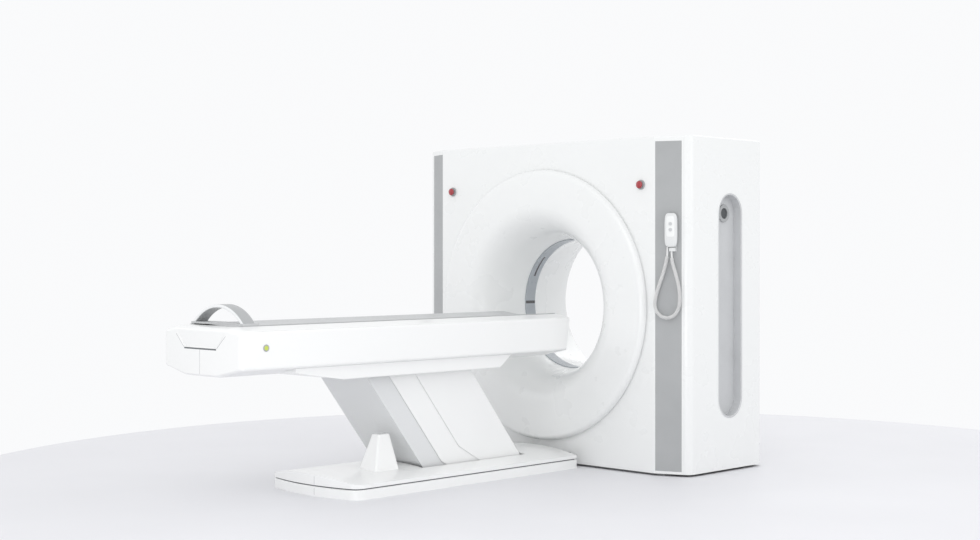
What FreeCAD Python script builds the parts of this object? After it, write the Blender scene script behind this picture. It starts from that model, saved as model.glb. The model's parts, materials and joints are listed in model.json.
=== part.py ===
import FreeCAD, Part
import math
import os

# CT scanner: an upright gantry with a round bore, and a lifting patient table in front of it.
# Millimetres. +Z up, +Y from the table into the gantry, +X to the right seen from the table.
# The origin lies on the floor, straight below the isocentre, in the scan plane.

V = FreeCAD.Vector

# ---- driving dimensions: gantry ----
ISO_Z = 870.0            # height of the bore axis
GANTRY_HEIGHT = 1765.0
GANTRY_HALF_WIDTH = 972.0
PANEL_HALF_WIDTH = 792.0  # flat middle of the front, between the two facets
FACET_ANGLE = 22.5        # each facet leans back from the front by this many degrees
FACET_END_X = 938.0
FRONT_Y = -293.0
REAR_Y = 418.0
REAR_CORNER = 30.0
FRONT_CORNER = 55.0
SHELL = 5.0               # cover thickness
FLOOR_GAP = 12.0          # covers stop this far above the floor
TOP_THICKNESS = 15.0
BORE_R = 360.0            # scan window, a 720 mm aperture
RING_R = 747.0            # outer edge of the front ring cover
WINDOW_HALF_WIDTH = 40.0

# ---- driving dimensions: table ----
BEAM_HALF_WIDTH = 300.0
BEAM_Y0 = -2571.0         # foot end
BEAM_Y1 = -395.0          # head end
CRADLE_HALF_WIDTH = 203.0
CRADLE_TOP_Z = 832.0
BASE_HALF_WIDTH = 323.0
BASE_Y0 = -1913.0         # corners of the base's front end
BASE_Y1 = -368.0
BASE_PLATE_Z = 20.0       # top of the floor plate
LEAN = 38.1               # degrees from upright, with the table as it stands
ARM_LENGTH = 612.0        # pivot to pivot
PIVOT_Z = 75.0
FRONT_PIVOT_Y = -1295.0
MIDDLE_PIVOT_Y = -1085.0
REAR_PIVOT_Y = -853.0
PIN_R = 12.0
PIN_CLEARANCE = 0.05

# ---- driving dimensions: controls ----
ESTOP_X = 706.0
ESTOP_Z = 1514.0
CONTROLLER_Z = 1275.0
CONTROLLER_ALONG = 97.0   # distance of the hand controller's middle from the facet's front edge

SIN = math.sin(math.radians(LEAN))
COS = math.cos(math.radians(LEAN))
FACET_COS = math.cos(math.radians(FACET_ANGLE))
FACET_SIN = math.sin(math.radians(FACET_ANGLE))
FACET_END_Y = FRONT_Y + (FACET_END_X - PANEL_HALF_WIDTH) * FACET_SIN / FACET_COS
UPPER_DY = -ARM_LENGTH * SIN
UPPER_Z = PIVOT_Z + ARM_LENGTH * COS
LEG_OPENING_Y0 = -1790.0  # opening over the lift covers, in the shroud's floor and the beam's underside
BEAM_OPENING_Y1 = -905.0
SHROUD_OPENING_Y1 = -830.0


# ---- helpers ----
def box(x0, x1, y0, y1, z0, z1):
    return Part.makeBox(x1 - x0, y1 - y0, z1 - z0, V(x0, y0, z0))


def rod_x(radius, x0, x1, y, z):
    return Part.makeCylinder(radius, x1 - x0, V(x0, y, z), V(1, 0, 0))


def rod_y(radius, y0, y1, x, z):
    return Part.makeCylinder(radius, y1 - y0, V(x, y0, z), V(0, 1, 0))


def rod_z(radius, z0, z1, x, y):
    return Part.makeCylinder(radius, z1 - z0, V(x, y, z0), V(0, 0, 1))


def prism_x(points_yz, x0, x1):
    corners = [V(x0, y, z) for y, z in points_yz]
    return Part.Face(Part.makePolygon(corners + corners[:1])).extrude(V(x1 - x0, 0, 0))


def prism_y(points_xz, y0, y1):
    corners = [V(x, y0, z) for x, z in points_xz]
    return Part.Face(Part.makePolygon(corners + corners[:1])).extrude(V(0, y1 - y0, 0))


def prism_z(wire_or_points, z0, z1):
    if isinstance(wire_or_points, Part.Wire):
        wire = wire_or_points
    else:
        corners = [V(x, y, z0) for x, y in wire_or_points]
        wire = Part.makePolygon(corners + corners[:1])
    return Part.Face(wire).extrude(V(0, 0, z1 - z0))


def turned(edges):
    """Turn a closed outline, given as edges in the plane z = ISO_Z with x as radius, about the bore axis."""
    wire = Part.Wire(Part.__sortEdges__(edges))
    return Part.Face(wire).revolve(V(0, 0, ISO_Z), V(0, 1, 0), 360)


def turned_polygon(points_ry):
    corners = [V(r, y, ISO_Z) for r, y in points_ry]
    return Part.Face(Part.makePolygon(corners + corners[:1])).revolve(V(0, 0, ISO_Z), V(0, 1, 0), 360)


def ring_y(r_in, r_out, y0, y1):
    return turned_polygon([(r_in, y0), (r_out, y0), (r_out, y1), (r_in, y1)])


def mirrored(shape):
    return shape.mirror(V(0, 0, 0), V(1, 0, 0))


def pair(shape):
    """The right-hand piece and its left-hand mirror image."""
    return Part.makeCompound([shape, mirrored(shape)])


def turned_about_bore(shape, degrees):
    moved = shape.copy()
    moved.rotate(V(0, 0, ISO_Z), V(0, 1, 0), degrees)
    return moved


def pill_wire(x, y, z0, z1, radius):
    """Upright pill outline in the plane of constant x."""
    low, high = z0 + radius, z1 - radius
    a, b = V(x, y - radius, low), V(x, y + radius, low)
    c, d = V(x, y + radius, high), V(x, y - radius, high)
    bottom = Part.Arc(a, V(x, y, z0), b).toShape()
    top = Part.Arc(c, V(x, y, z1), d).toShape()
    return Part.Wire([bottom, Part.makeLine(b, c), top, Part.makeLine(d, a)])


def pill(x0, x1, y, z0, z1, radius):
    return Part.Face(pill_wire(x0, y, z0, z1, radius)).extrude(V(x1 - x0, 0, 0))


def arm_point(pivot_y, perp, along):
    """A point given across and along a leaning arm, as (y, z)."""
    return (pivot_y + perp * COS - along * SIN, PIVOT_Z + perp * SIN + along * COS)


def arm_prism(pivot_y, outline, x0, x1):
    return prism_x([arm_point(pivot_y, p, s) for p, s in outline], x0, x1)


def arm_block(pivot_y, across, along, x0, x1):
    """A straight bar of a leaning arm: its span across the arm, its span along it, and its span in X."""
    (p0, p1), (s0, s1) = across, along
    return arm_prism(pivot_y, [(p0, s0), (p1, s0), (p1, s1), (p0, s1)], x0, x1)


def facet_point(along, out, z):
    """A point on the right facet: along it from the panel's edge, and out from its face."""
    return V(PANEL_HALF_WIDTH + along * FACET_COS + out * FACET_SIN,
             FRONT_Y + along * FACET_SIN - out * FACET_COS, z)


def facet_block(along0, along1, out0, out1, z0, z1):
    corners = [(along0, out0), (along1, out0), (along1, out1), (along0, out1)]
    points = [facet_point(a, o, z0) for a, o in corners]
    return Part.Face(Part.makePolygon(points + points[:1])).extrude(V(0, 0, z1 - z0))


def round_edges(shape, radius, keep):
    """Round the edges for which keep(edge) is true."""
    edges = [e for e in shape.Edges if keep(e)]
    return shape.makeFillet(radius, edges) if edges else shape


def is_upright(edge):
    extent = edge.BoundBox
    return extent.ZLength > 1 and extent.XLength < 0.01 and extent.YLength < 0.01


# ---- gantry covers ----
def side_path(inset):
    """Right side of the gantry in plan, from the facet's end round the front corner to the rear corner."""
    x = GANTRY_HALF_WIDTH - inset
    r_front, r_rear = FRONT_CORNER - inset, REAR_CORNER - inset
    end = V(FACET_END_X - inset * FACET_SIN, FACET_END_Y + inset * FACET_COS, 0)
    turn = math.radians(90 - FACET_ANGLE)
    centre = V(x - r_front, end.y + r_front * math.sin(turn) * 0.93, 0)
    middle = centre + V(math.cos(turn / 2), -math.sin(turn / 2), 0) * r_front
    corner_end = V(x, centre.y, 0)
    rear_start = V(x, REAR_Y - inset - r_rear, 0)
    rear_end = V(x - r_rear, REAR_Y - inset, 0)
    k = math.sqrt(0.5) * r_rear
    rear_middle = V(x - r_rear + k, REAR_Y - inset - r_rear + k, 0)
    first = Part.Arc(end, middle, corner_end).toShape()
    last = Part.Arc(rear_start, rear_middle, rear_end).toShape()
    return [first, Part.makeLine(corner_end, rear_start), last], end, rear_end


PILL_Y, PILL_Z0, PILL_Z1, PILL_R = 124.0, 281.0, 1475.0, 108.0
COVER_Z1 = GANTRY_HEIGHT - TOP_THICKNESS


def side_cover():
    outer, a, b = side_path(0)
    inner, c, d = side_path(SHELL)
    edges = outer + inner + [Part.makeLine(a, c), Part.makeLine(b, d)]
    wire = Part.Wire(Part.__sortEdges__(edges))
    wire.translate(V(0, 0, FLOOR_GAP))
    shell = prism_z(wire, FLOOR_GAP, COVER_Z1)
    return shell.cut(pill(GANTRY_HALF_WIDTH - 40, GANTRY_HALF_WIDTH + 10, PILL_Y, PILL_Z0, PILL_Z1, PILL_R))


def grip_tray():
    """Moulded pill-shaped recess with a rounded lip that stands 3 mm proud of the side."""
    side = GANTRY_HALF_WIDTH
    lip = pill(side - 50, side + 3, PILL_Y, PILL_Z0 + 0.5, PILL_Z1 - 0.5, PILL_R - 0.5)
    hollow = pill(side - 46, side + 10, PILL_Y, PILL_Z0 + 9, PILL_Z1 - 9, PILL_R - 9)
    outer_face = GANTRY_HALF_WIDTH + 3
    lip = round_edges(lip, 2.5, lambda e: abs(e.BoundBox.XMin - outer_face) < 0.01
                      and e.BoundBox.XLength < 0.01)
    return lip.cut(hollow)


def speaker(part):
    """Bezel ring or dark grille of the round intercom speaker at the top of each recess."""
    z, x = PILL_Z1 - PILL_R, GANTRY_HALF_WIDTH - 46
    if part == "bezel":
        disc = Part.makeCylinder(47, 9, V(x, PILL_Y, z), V(1, 0, 0))
        disc = disc.makeFillet(3, [e for e in disc.Edges if abs(e.BoundBox.XMin - x - 9) < 0.01 and e.Closed])
        return disc.cut(Part.makeCylinder(29, 20, V(x - 1, PILL_Y, z), V(1, 0, 0)))
    return Part.makeCylinder(28.8, 3, V(x, PILL_Y, z), V(1, 0, 0))


def front_outline(inset):
    """Front of the gantry in plan: panel and two facets."""
    step = inset * math.tan(math.radians(FACET_ANGLE / 2))
    half = PANEL_HALF_WIDTH - step
    end = (FACET_END_X - inset * FACET_SIN - 0.4, FACET_END_Y + inset * FACET_COS)
    return [(-end[0], end[1]), (-half, FRONT_Y + inset), (half, FRONT_Y + inset), end]


STRIP = (6.0, 147.0, 26.0, 1737.0)   # along the facet from, to, and height from, to


def front_cover():
    outline = front_outline(0) + front_outline(SHELL)[::-1]
    cover = prism_z(outline, FLOOR_GAP, COVER_Z1)
    cover = cover.cut(rod_y(732, FRONT_Y - 20, FRONT_Y + 40, 0, ISO_Z))
    for x in (-ESTOP_X, ESTOP_X):
        cover = cover.cut(rod_y(16.2, FRONT_Y - 20, FRONT_Y + 40, x, ESTOP_Z))
    recess = facet_block(STRIP[0], STRIP[1], -2, 5, STRIP[2], STRIP[3])
    cover = cover.cut(recess).cut(mirrored(recess))
    return cover.cut(box(-215, 215, FRONT_Y - 5, FRONT_Y + 10, 0, 70))


def trim_strip():
    a0, a1, z0, z1 = STRIP
    return facet_block(a0 + 0.3, a1 - 0.3, -2, 0.5, z0 + 0.3, z1 - 0.3)


def top_cover():
    right, start, end = side_path(0)
    left = [mirrored(e) for e in right]
    front = [V(-start.x, start.y, 0), V(-PANEL_HALF_WIDTH, FRONT_Y, 0)]
    front += [V(PANEL_HALF_WIDTH, FRONT_Y, 0), start]
    edges = right + left + [Part.makeLine(p, q) for p, q in zip(front, front[1:])]
    edges.append(Part.makeLine(end, V(-end.x, end.y, 0)))
    wire = Part.Wire(Part.__sortEdges__(edges))
    wire.translate(V(0, 0, COVER_Z1))
    lid = prism_z(wire, COVER_Z1, GANTRY_HEIGHT)
    lid = round_edges(lid, 9, lambda e: e.BoundBox.ZMin > GANTRY_HEIGHT - 0.01)
    return lid.cut(box(-900, 900, FRONT_Y + 75, REAR_Y - 40, COVER_Z1 - 1, GANTRY_HEIGHT - 6))


REAR_OPENING_R = 470.0


def rear_cover():
    half = GANTRY_HALF_WIDTH - REAR_CORNER - 0.4
    plate = box(-half, half, REAR_Y - SHELL, REAR_Y, FLOOR_GAP, COVER_Z1)
    return plate.cut(rod_y(REAR_OPENING_R, REAR_Y - 20, REAR_Y + 20, 0, ISO_Z))


# The bell mouth is a quarter ellipse in section, from the throat out to the ring's face.
MOUTH_R, MOUTH_Y = 543.0, -WINDOW_HALF_WIDTH
MOUTH_A, MOUTH_B = 178.0, 299.0


def bell_arc(inset):
    """Quarter ellipse of the bell mouth, moved away from the bore by inset."""
    a, b = MOUTH_A - inset, MOUTH_B - inset
    centre = V(MOUTH_R, MOUTH_Y, ISO_Z)
    ellipse = Part.Ellipse(centre + V(0, -b, 0), centre + V(-a, 0, 0), centre)
    throat, face = centre + V(-a, 0, 0), centre + V(0, -b, 0)
    t0, t1 = sorted([ellipse.parameter(throat), ellipse.parameter(face)])
    if t1 - t0 > math.pi:
        t0, t1 = t1, t0 + 2 * math.pi
    return Part.ArcOfEllipse(ellipse, t0, t1).toShape(), throat, face


def ring_cover():
    outer, throat, face = bell_arc(0)
    inner, throat_in, face_in = bell_arc(SHELL)
    fall, rim = 5.0, 28.0
    shoulder = V(RING_R - rim, face.y + fall, ISO_Z)
    shoulder_in = shoulder + V(0, SHELL, 0)
    crown = V((face.x + shoulder.x) / 2, face.y + fall * 0.25, ISO_Z)
    crown_in = V((face_in.x + shoulder_in.x) / 2, face_in.y + fall * 0.25, ISO_Z)
    k = math.sqrt(0.5)
    rim_end = V(RING_R, shoulder.y + rim, ISO_Z)
    rim_mid = V(RING_R - rim + rim * k, shoulder.y + rim - rim * k, ISO_Z)
    r_in = rim - SHELL
    rim_end_in = V(RING_R - SHELL, shoulder.y + rim, ISO_Z)
    rim_mid_in = V(RING_R - rim + r_in * k, shoulder.y + rim - r_in * k, ISO_Z)
    lip = [rim_end, V(RING_R, FRONT_Y - 6, ISO_Z), V(RING_R - 6, FRONT_Y - 6, ISO_Z),
           V(RING_R - 6, FRONT_Y, ISO_Z), V(RING_R - 11, FRONT_Y, ISO_Z),
           V(RING_R - 11, FRONT_Y - 8, ISO_Z), rim_end_in]
    edges = [outer, inner, Part.makeLine(throat, throat_in),
             Part.Arc(face, crown, shoulder).toShape(), Part.Arc(face_in, crown_in, shoulder_in).toShape(),
             Part.Arc(shoulder, rim_mid, rim_end).toShape(),
             Part.Arc(shoulder_in, rim_mid_in, rim_end_in).toShape()]
    edges += [Part.makeLine(p, q) for p, q in zip(lip, lip[1:])]
    return turned(edges)


def rear_ring_cover():
    """Rear funnel: a gentle cone from the scan window to a rounded flange on the rear cover."""
    bore_side = [(365, WINDOW_HALF_WIDTH), (440, REAR_Y - 22), (450, REAR_Y - 6), (466, REAR_Y + 4)]
    flange = [(486, REAR_Y + 4), (490, REAR_Y), (469, REAR_Y)]
    back = [(457, REAR_Y - 8), (446, REAR_Y - 22), (370, WINDOW_HALF_WIDTH)]
    return turned_polygon(bore_side + flange + back)


def scan_window():
    window = ring_y(BORE_R, 368.0, -WINDOW_HALF_WIDTH, WINDOW_HALF_WIDTH)
    for tool in laser_slots(0.0):
        window = window.cut(tool)
    return window


def arc_block(r_in, r_out, y0, y1, start, end):
    """Part of a ring about the bore, from one angle above the -X side to another."""
    half = ring_y(r_in, r_out, y0, y1)
    reach = 1000.0
    points = [(0, ISO_Z)]
    for angle in (start, end):
        a = math.radians(angle)
        points.append((-reach * math.cos(a), ISO_Z + reach * math.sin(a)))
    return half.common(prism_y(points, y0 - 1, y1 + 1))


def laser_slots(gap):
    """Two level laser exits and two curved indicator slots, one of each per side."""
    lateral = arc_block(BORE_R - 0.5 + gap * 2, 368.5 - gap * 3, -38 + gap, 38 - gap, -1.3, 1.3)
    curved = arc_block(BORE_R - 0.5 + gap * 2, 368.5 - gap * 3, -7 + gap, 7 - gap, 25, 47)
    return [lateral, mirrored(lateral), curved, mirrored(curved)]


# ---- gantry inside ----
def gantry_base_frame():
    """Welded frame: two long feet, two cross beams, and the anchor holes."""
    parts = [box(-820, -700, -250, 370, 0, 70), box(700, 820, -250, 370, 0, 70),
             box(-700, 700, 120, 220, 0, 70), box(-700, 700, -250, -190, 0, 70)]
    frame = parts[0].fuse(parts[1:]).removeSplitter()
    for x in (-760, 760):
        for y in (-200, 200):
            frame = frame.cut(rod_z(11, -5, 80, x, y))
    return frame


def stator_plate():
    plate = box(-760, 760, 150, 180, 70, 1650).cut(rod_y(620, 140, 190, 0, ISO_Z))
    return plate.cut(rod_y(30, 140, 190, MOTOR_X, MOTOR_Z))


MOTOR_X, MOTOR_Z = -690.0, 235.0
ROTOR_R = 680.0
PULLEY_R = 55.0


def rotor_plate():
    disc = ring_y(420, ROTOR_R, 60, 90)
    return disc.cut(ring_y(ROTOR_R - 4, ROTOR_R + 1, 62, 88))


def xray_tube():
    """Tube housing: a barrel along the bore axis with end caps and a mounting foot."""
    z = ISO_Z + 585
    barrel = rod_y(80, -170, 40, 0, z).fuse(rod_y(62, -190, 60, 0, z))
    return barrel.fuse(box(-60, 60, -120, 60, z - 78, z - 60)).removeSplitter()


def collimator():
    z = ISO_Z + 585
    return prism_y([(-60, z - 80), (60, z - 80), (95, z - 150), (-95, z - 150)], -40, 60)


def detector_arc():
    """Curved detector bank with its electronics, centred under the bore."""
    bank = ring_y(470, 600, -60, 60)
    return bank.common(prism_y([(0, ISO_Z), (-430, ISO_Z - 640), (430, ISO_Z - 640)], -70, 70))


def hv_generator():
    tank = box(-90, 90, -180, 60, 0, 170)
    tank = round_edges(tank, 12, is_upright)
    tank.translate(V(0, 0, ISO_Z + 470))
    return Part.makeCompound([turned_about_bore(tank, a) for a in (70, -70)])


def counterweights():
    block = box(-70, 70, -60, 60, ISO_Z + 500, ISO_Z + 620)
    return Part.makeCompound([turned_about_bore(block, a) for a in (125, -125)])


def slip_ring():
    rings = ring_y(470, 560, 90, 128)
    for y in (97, 105, 113, 121):
        rings = rings.cut(ring_y(557, 561, y, y + 3))
    return rings


def drive_belt():
    """Flat belt round the rotor's rim and the motor pulley, in two arcs and two tangents."""
    dx, dz = MOTOR_X, MOTOR_Z - ISO_Z
    distance = math.hypot(dx, dz)
    bearing = math.atan2(dz, dx)

    def outline(grow):
        big, small = ROTOR_R - 3.5 + grow, PULLEY_R + 0.5 + grow
        wrap = math.acos((big - small) / distance)

        def at(radius, angle, x, z):
            return V(x + radius * math.cos(angle), 62.5, z + radius * math.sin(angle))
        b1, b2 = at(big, bearing + wrap, 0, ISO_Z), at(big, bearing - wrap, 0, ISO_Z)
        far = at(big, bearing + math.pi, 0, ISO_Z)
        s1, s2 = at(small, bearing + wrap, MOTOR_X, MOTOR_Z), at(small, bearing - wrap, MOTOR_X, MOTOR_Z)
        near = at(small, bearing, MOTOR_X, MOTOR_Z)
        return Part.Wire([Part.Arc(b1, far, b2).toShape(), Part.makeLine(b2, s2),
                          Part.Arc(s2, near, s1).toShape(), Part.makeLine(s1, b1)])
    solid = Part.Face(outline(5)).extrude(V(0, 25, 0))
    return solid.cut(Part.Face(outline(0)).extrude(V(0, 25, 0)))


def drive_motor():
    body = rod_y(95, 180, 350, MOTOR_X, MOTOR_Z).fuse(rod_y(60, 350, 385, MOTOR_X, MOTOR_Z))
    return body.fuse(rod_y(14, 58, 180, MOTOR_X, MOTOR_Z)).removeSplitter()


def motor_pulley():
    pulley = rod_y(PULLEY_R, 62, 88, MOTOR_X, MOTOR_Z)
    for y in (59.5, 88.0):
        pulley = pulley.fuse(rod_y(PULLEY_R + 9, y, y + 2.5, MOTOR_X, MOTOR_Z))
    return pulley.removeSplitter().cut(rod_y(14 + PIN_CLEARANCE, 50, 100, MOTOR_X, MOTOR_Z))


def brush_block():
    """Reaches from the back of the stator plate in to the slip ring's rear face."""
    block = box(480, 550, 129, 200, ISO_Z - 40, ISO_Z + 40)
    return block.fuse(box(480, 700, 180, 200, ISO_Z - 40, ISO_Z + 40)).removeSplitter()


# ---- gantry controls ----
def estop_collar(x):
    collar = rod_y(26, FRONT_Y - 7, FRONT_Y, x, ESTOP_Z)
    collar = collar.makeFillet(3, [e for e in collar.Edges if abs(e.BoundBox.YMin - FRONT_Y + 7) < 0.01
                                   and e.Closed])
    collar = collar.fuse(rod_y(16, FRONT_Y - 0.5, FRONT_Y + 40, x, ESTOP_Z)).removeSplitter()
    return collar.cut(rod_y(11.4, FRONT_Y - 20, FRONT_Y + 30, x, ESTOP_Z))


def estop_button(x):
    """Mushroom head on a stem."""
    head = rod_y(20, FRONT_Y - 27, FRONT_Y - 14, x, ESTOP_Z)
    front = FRONT_Y - 27
    head = head.makeFillet(5, [e for e in head.Edges if abs(e.BoundBox.YMin - front) < 0.01 and e.Closed])
    return head.fuse(rod_y(11, FRONT_Y - 15, FRONT_Y + 22, x, ESTOP_Z)).removeSplitter()


CONTROLLER = dict(half_width=33.0, half_height=88.0, back=9.0, front=37.0)


def hand_controller():
    c = CONTROLLER
    a, z = CONTROLLER_ALONG, CONTROLLER_Z
    body = facet_block(a - c["half_width"], a + c["half_width"], c["back"], c["front"],
                       z - c["half_height"], z + c["half_height"])
    body = body.makeFillet(9, [e for e in body.Edges if e.Length > 20])
    for button in controller_buttons(10.0, 28.0, 14.0):
        body = body.cut(button)
    return body


def controller_buttons(radius=9.0, depth_from=30.5, height=9.5):
    """Two round push buttons, one above the other, or with larger sizes the wells that they sit in."""
    rounds = []
    for dz in (32.0, 2.0):
        start = facet_point(CONTROLLER_ALONG, depth_from, CONTROLLER_Z + dz)
        rounds.append(Part.makeCylinder(radius, height, start, V(FACET_SIN, -FACET_COS, 0)))
    return rounds


def controller_holder():
    """Clip on the strip that the hand controller hangs in, with the cord's gland below."""
    c = CONTROLLER
    a, z = CONTROLLER_ALONG, CONTROLLER_Z
    plate = facet_block(a - 24, a + 24, 0.5, 9, z - 60, z + 60)
    foot = facet_block(a - 7, a + 24, 0.5, 34, z - c["half_height"] - 22, z - c["half_height"] - 4)
    web = facet_block(a - 7, a + 24, 0.5, 9, z - c["half_height"] - 22, z - 60)
    return plate.fuse([foot, web]).removeSplitter()


# The cord leaves the controller's lower end, hangs in a loop and comes back up into the holder's gland.
CORD_R = 10.0
CORD_OUT = 23.0
CORD_POINTS = [
    (78, 1187), (78, 1146), (70, 1104), (54, 1046), (32, 988), (15, 930), (8, 878),
    (30, 836), (74, 817), (118, 834), (142, 880), (144, 938), (137, 992), (124, 1042),
    (109, 1088), (100, 1127), (100, 1165)]


def cord_tube(points, radius):
    """Straight runs joined by tangent arcs. Prints each arc's radius."""
    pts = [facet_point(a, CORD_OUT, z) for a, z in points]
    edges, start = [], pts[0]
    for before, corner, after in zip(pts, pts[1:], pts[2:]):
        u, w = (before - corner), (after - corner)
        run = min(u.Length, w.Length)
        half = (math.pi - u.getAngle(w)) / 2
        cut = 0.45 * run
        u.normalize()
        w.normalize()
        bend = cut / math.tan(half)
        a, b = corner + u * cut, corner + w * cut
        inward = (u + w).normalize()
        centre = corner + inward * (bend / math.cos(half))
        print("cord bend radius %.0f mm" % bend)
        edges.append(Part.makeLine(start, a))
        edges.append(Part.Arc(a, centre - inward * bend, b).toShape())
        start = b
    edges.append(Part.makeLine(start, pts[-1]))
    path = Part.Wire(edges)
    direction = pts[1] - pts[0]
    profile = Part.Wire(Part.makeCircle(radius, pts[0], direction))
    tube = path.makePipeShell([profile], True, False)
    print("cord tube volume ratio %.4f" % (tube.Volume / (math.pi * radius ** 2 * path.Length)))
    print("cord route length %.0f mm" % path.Length)
    return tube


# ---- table base and lift ----
def base_block(inset, z0, z1):
    """Base in plan: straight sides, and a front end that bows out between rounded corners."""
    half, front, bow = BASE_HALF_WIDTH - inset, BASE_Y0 + inset, 52.0
    rear = BASE_Y1 - min(inset, 4)
    a, b, c, d = V(half, rear, z0), V(half, front, z0), V(-half, front, z0), V(-half, rear, z0)
    nose = Part.Arc(b, V(0, front - bow, z0), c).toShape()
    wire = Part.Wire([Part.makeLine(a, b), nose, Part.makeLine(c, d), Part.makeLine(d, a)])
    block = prism_z(wire, z0, z1)
    corners = [e for e in block.Edges if is_upright(e) and e.BoundBox.YMax < front + 1]
    return block.makeFillet(60 - inset, corners)


WELL = (-200.0, 200.0, -1500.0, -640.0)   # opening in the base's top cover that the lift stands in


def gantry_tie():
    """Steel tie from the table's base plate to the gantry's base frame."""
    flat = box(-160, 160, BASE_Y1 - 30, -250, BASE_PLATE_Z, 41)
    return flat.fuse(box(-160, 160, BASE_Y1 + 0.5, -298, 41, 66)).removeSplitter()


def table_base_plate():
    """Floor plate with its anchor holes, the pivot brackets that stand on it and the tie to the gantry."""
    plate = base_block(12, 0, BASE_PLATE_Z)
    for x in (-250, 250):
        for y in (-1750, -470):
            plate = plate.cut(rod_z(11, -5, 30, x, y))
    return Part.makeCompound([plate, gantry_tie()] + pivot_brackets())


def base_skirt():
    ring = base_block(0, 0, 47)
    ring = round_edges(ring, 5, lambda e: e.BoundBox.ZMin > 46.9)
    ring = ring.cut(base_block(12, -1, 21)).cut(base_block(10, 20, 50))
    return ring.cut(box(-161, 161, BASE_Y1 - 20, BASE_Y1 + 1, BASE_PLATE_Z - 1, 48))


CROWN_R, CROWN_Z = 1560.0, 104.0


def crowned(block, drop):
    """Cut a block off along the base cover's crowned surface, or that far below it."""
    axis_start = V(0, BASE_Y0 - 150, CROWN_Z - CROWN_R)
    return block.common(Part.makeCylinder(CROWN_R - drop, 2000, axis_start, V(0, 1, 0)))


def base_top_cover():
    """Crowned cover on a set-back neck, which leaves a dark groove above the skirt."""
    skin = crowned(base_block(0, 53, 110), 0).cut(crowned(base_block(6, 50, 110), 5))
    neck = base_block(8, 47, 60).cut(base_block(13, 46, 61))
    cover = skin.fuse(neck).removeSplitter()
    cover = cover.cut(box(WELL[0], WELL[1], WELL[2], WELL[3], 40, 120))
    for x in (-208, 200):
        cover = cover.fuse(box(x, x + 8, FLAP_Y - 8, FLAP_Y + 8, FLAP_Z - 8, 90))
    cover = cover.removeSplitter().cut(rod_x(4, -210, 210, FLAP_Y, FLAP_Z))
    return cover.cut(tower_frustum(0, 40, 120))


FLAP_Y, FLAP_Z = -1492.0, 84.0
FLAP_END_Y = -1386.0


def well_flap():
    """Hinged piece of the base's crowned top, that the lift pushes down as it leans forward."""
    slab = box(-198, 198, WELL[2] + 1.5, FLAP_END_Y, 60, 120)
    flap = crowned(slab, 0).cut(crowned(slab, 5))
    for x in (-198, 190):
        ear = box(x, x + 8, FLAP_Y - 6, FLAP_Y + 6, FLAP_Z - 6, 88)
        flap = flap.fuse([ear, box(x, x + 8, FLAP_Y - 6, FLAP_Y + 6, 86, 90)])
    return flap.removeSplitter().cut(rod_x(4 + PIN_CLEARANCE, -210, 210, FLAP_Y, FLAP_Z))


def flap_pins():
    return Part.makeCompound([rod_x(4, x, x + 20, FLAP_Y, FLAP_Z) for x in (-208, 188)])


def pivot_brackets():
    """Two upright plates with holes for the three lower pivot pins."""
    plates = []
    for x in (-162, 150):
        plate = box(x, x + 12, FRONT_PIVOT_Y + 10, -800, BASE_PLATE_Z, 102)
        plate = plate.fuse(rod_x(27, x, x + 12, FRONT_PIVOT_Y, PIVOT_Z)).removeSplitter()
        for y in (FRONT_PIVOT_Y, MIDDLE_PIVOT_Y, REAR_PIVOT_Y):
            plate = plate.cut(rod_x(PIN_R, x - 1, x + 13, y, PIVOT_Z))
        plates.append(plate)
    return plates


def pins(dy, z):
    reach = {FRONT_PIVOT_Y: 166.0, MIDDLE_PIVOT_Y: 176.0, REAR_PIVOT_Y: 166.0}
    return Part.makeCompound([rod_x(PIN_R, -half, half, y + dy, z) for y, half in reach.items()])


def hub_bores(shape, pivot_y):
    for along in (0.0, ARM_LENGTH):
        y, z = arm_point(pivot_y, 0, along)
        shape = shape.cut(rod_x(PIN_R + PIN_CLEARANCE, -178, 178, y, z))
    return shape


def hubs(pivot_y, x0, x1, radius):
    return [rod_x(radius, x0, x1, *arm_point(pivot_y, 0, along)) for along in (0.0, ARM_LENGTH)]


CRANK_R = 40.0
SWEEP_MIDDLE = 13.0     # degrees of lean beyond rest at which the crank points straight down


def crank_point(radius):
    angle = math.radians(SWEEP_MIDDLE)
    return FRONT_PIVOT_Y - radius * math.sin(angle), PIVOT_Z - radius * math.cos(angle)


def front_arm():
    """Box beam beside the pump tower's path, with hubs, cover brackets and the crank of the lift."""
    beam = arm_block(FRONT_PIVOT_Y, (-24, 24), (8, ARM_LENGTH - 8), -140, 15)
    arm = beam.fuse(hubs(FRONT_PIVOT_Y, -145, 145, 24))
    for along in (90, 500):
        arm = arm.fuse(arm_block(FRONT_PIVOT_Y, (-44, -20), (along, along + 30), -110, -10))
    y, z = crank_point(CRANK_R)
    crank = [(FRONT_PIVOT_Y - 14, PIVOT_Z), (FRONT_PIVOT_Y + 14, PIVOT_Z), (y + 9, z), (y - 9, z)]
    arm = arm.fuse(prism_x(crank, 60, 75))
    arm = arm.fuse([rod_x(9, 60, 75, y, z), rod_x(6, 75, 97, y, z)]).removeSplitter()
    return hub_bores(arm, FRONT_PIVOT_Y)


def lift_rod():
    """Piston rod whose yoke holds the crank pin in an upright slot."""
    y, _ = crank_point(CRANK_R)
    shape = box(78, 94, y - 15, y + 15, 24, 50).fuse(rod_y(8, y + 14, y + 260, 86, 38)).removeSplitter()
    return shape.cut(box(77, 95, y - 6.6, y + 6.6, 28, 60))


def lift_cylinder():
    y, _ = crank_point(CRANK_R)
    barrel = rod_y(17, y + 70, y + 330, 86, 38).cut(rod_y(8.05, y + 60, y + 300, 86, 38))
    return barrel.fuse(box(66, 106, y + 330, y + 345, 20, 56)).removeSplitter()


TOWER_X, TOWER_Y, TOWER_TOP_Z = 107.0, -1590.0, 268.0


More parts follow.
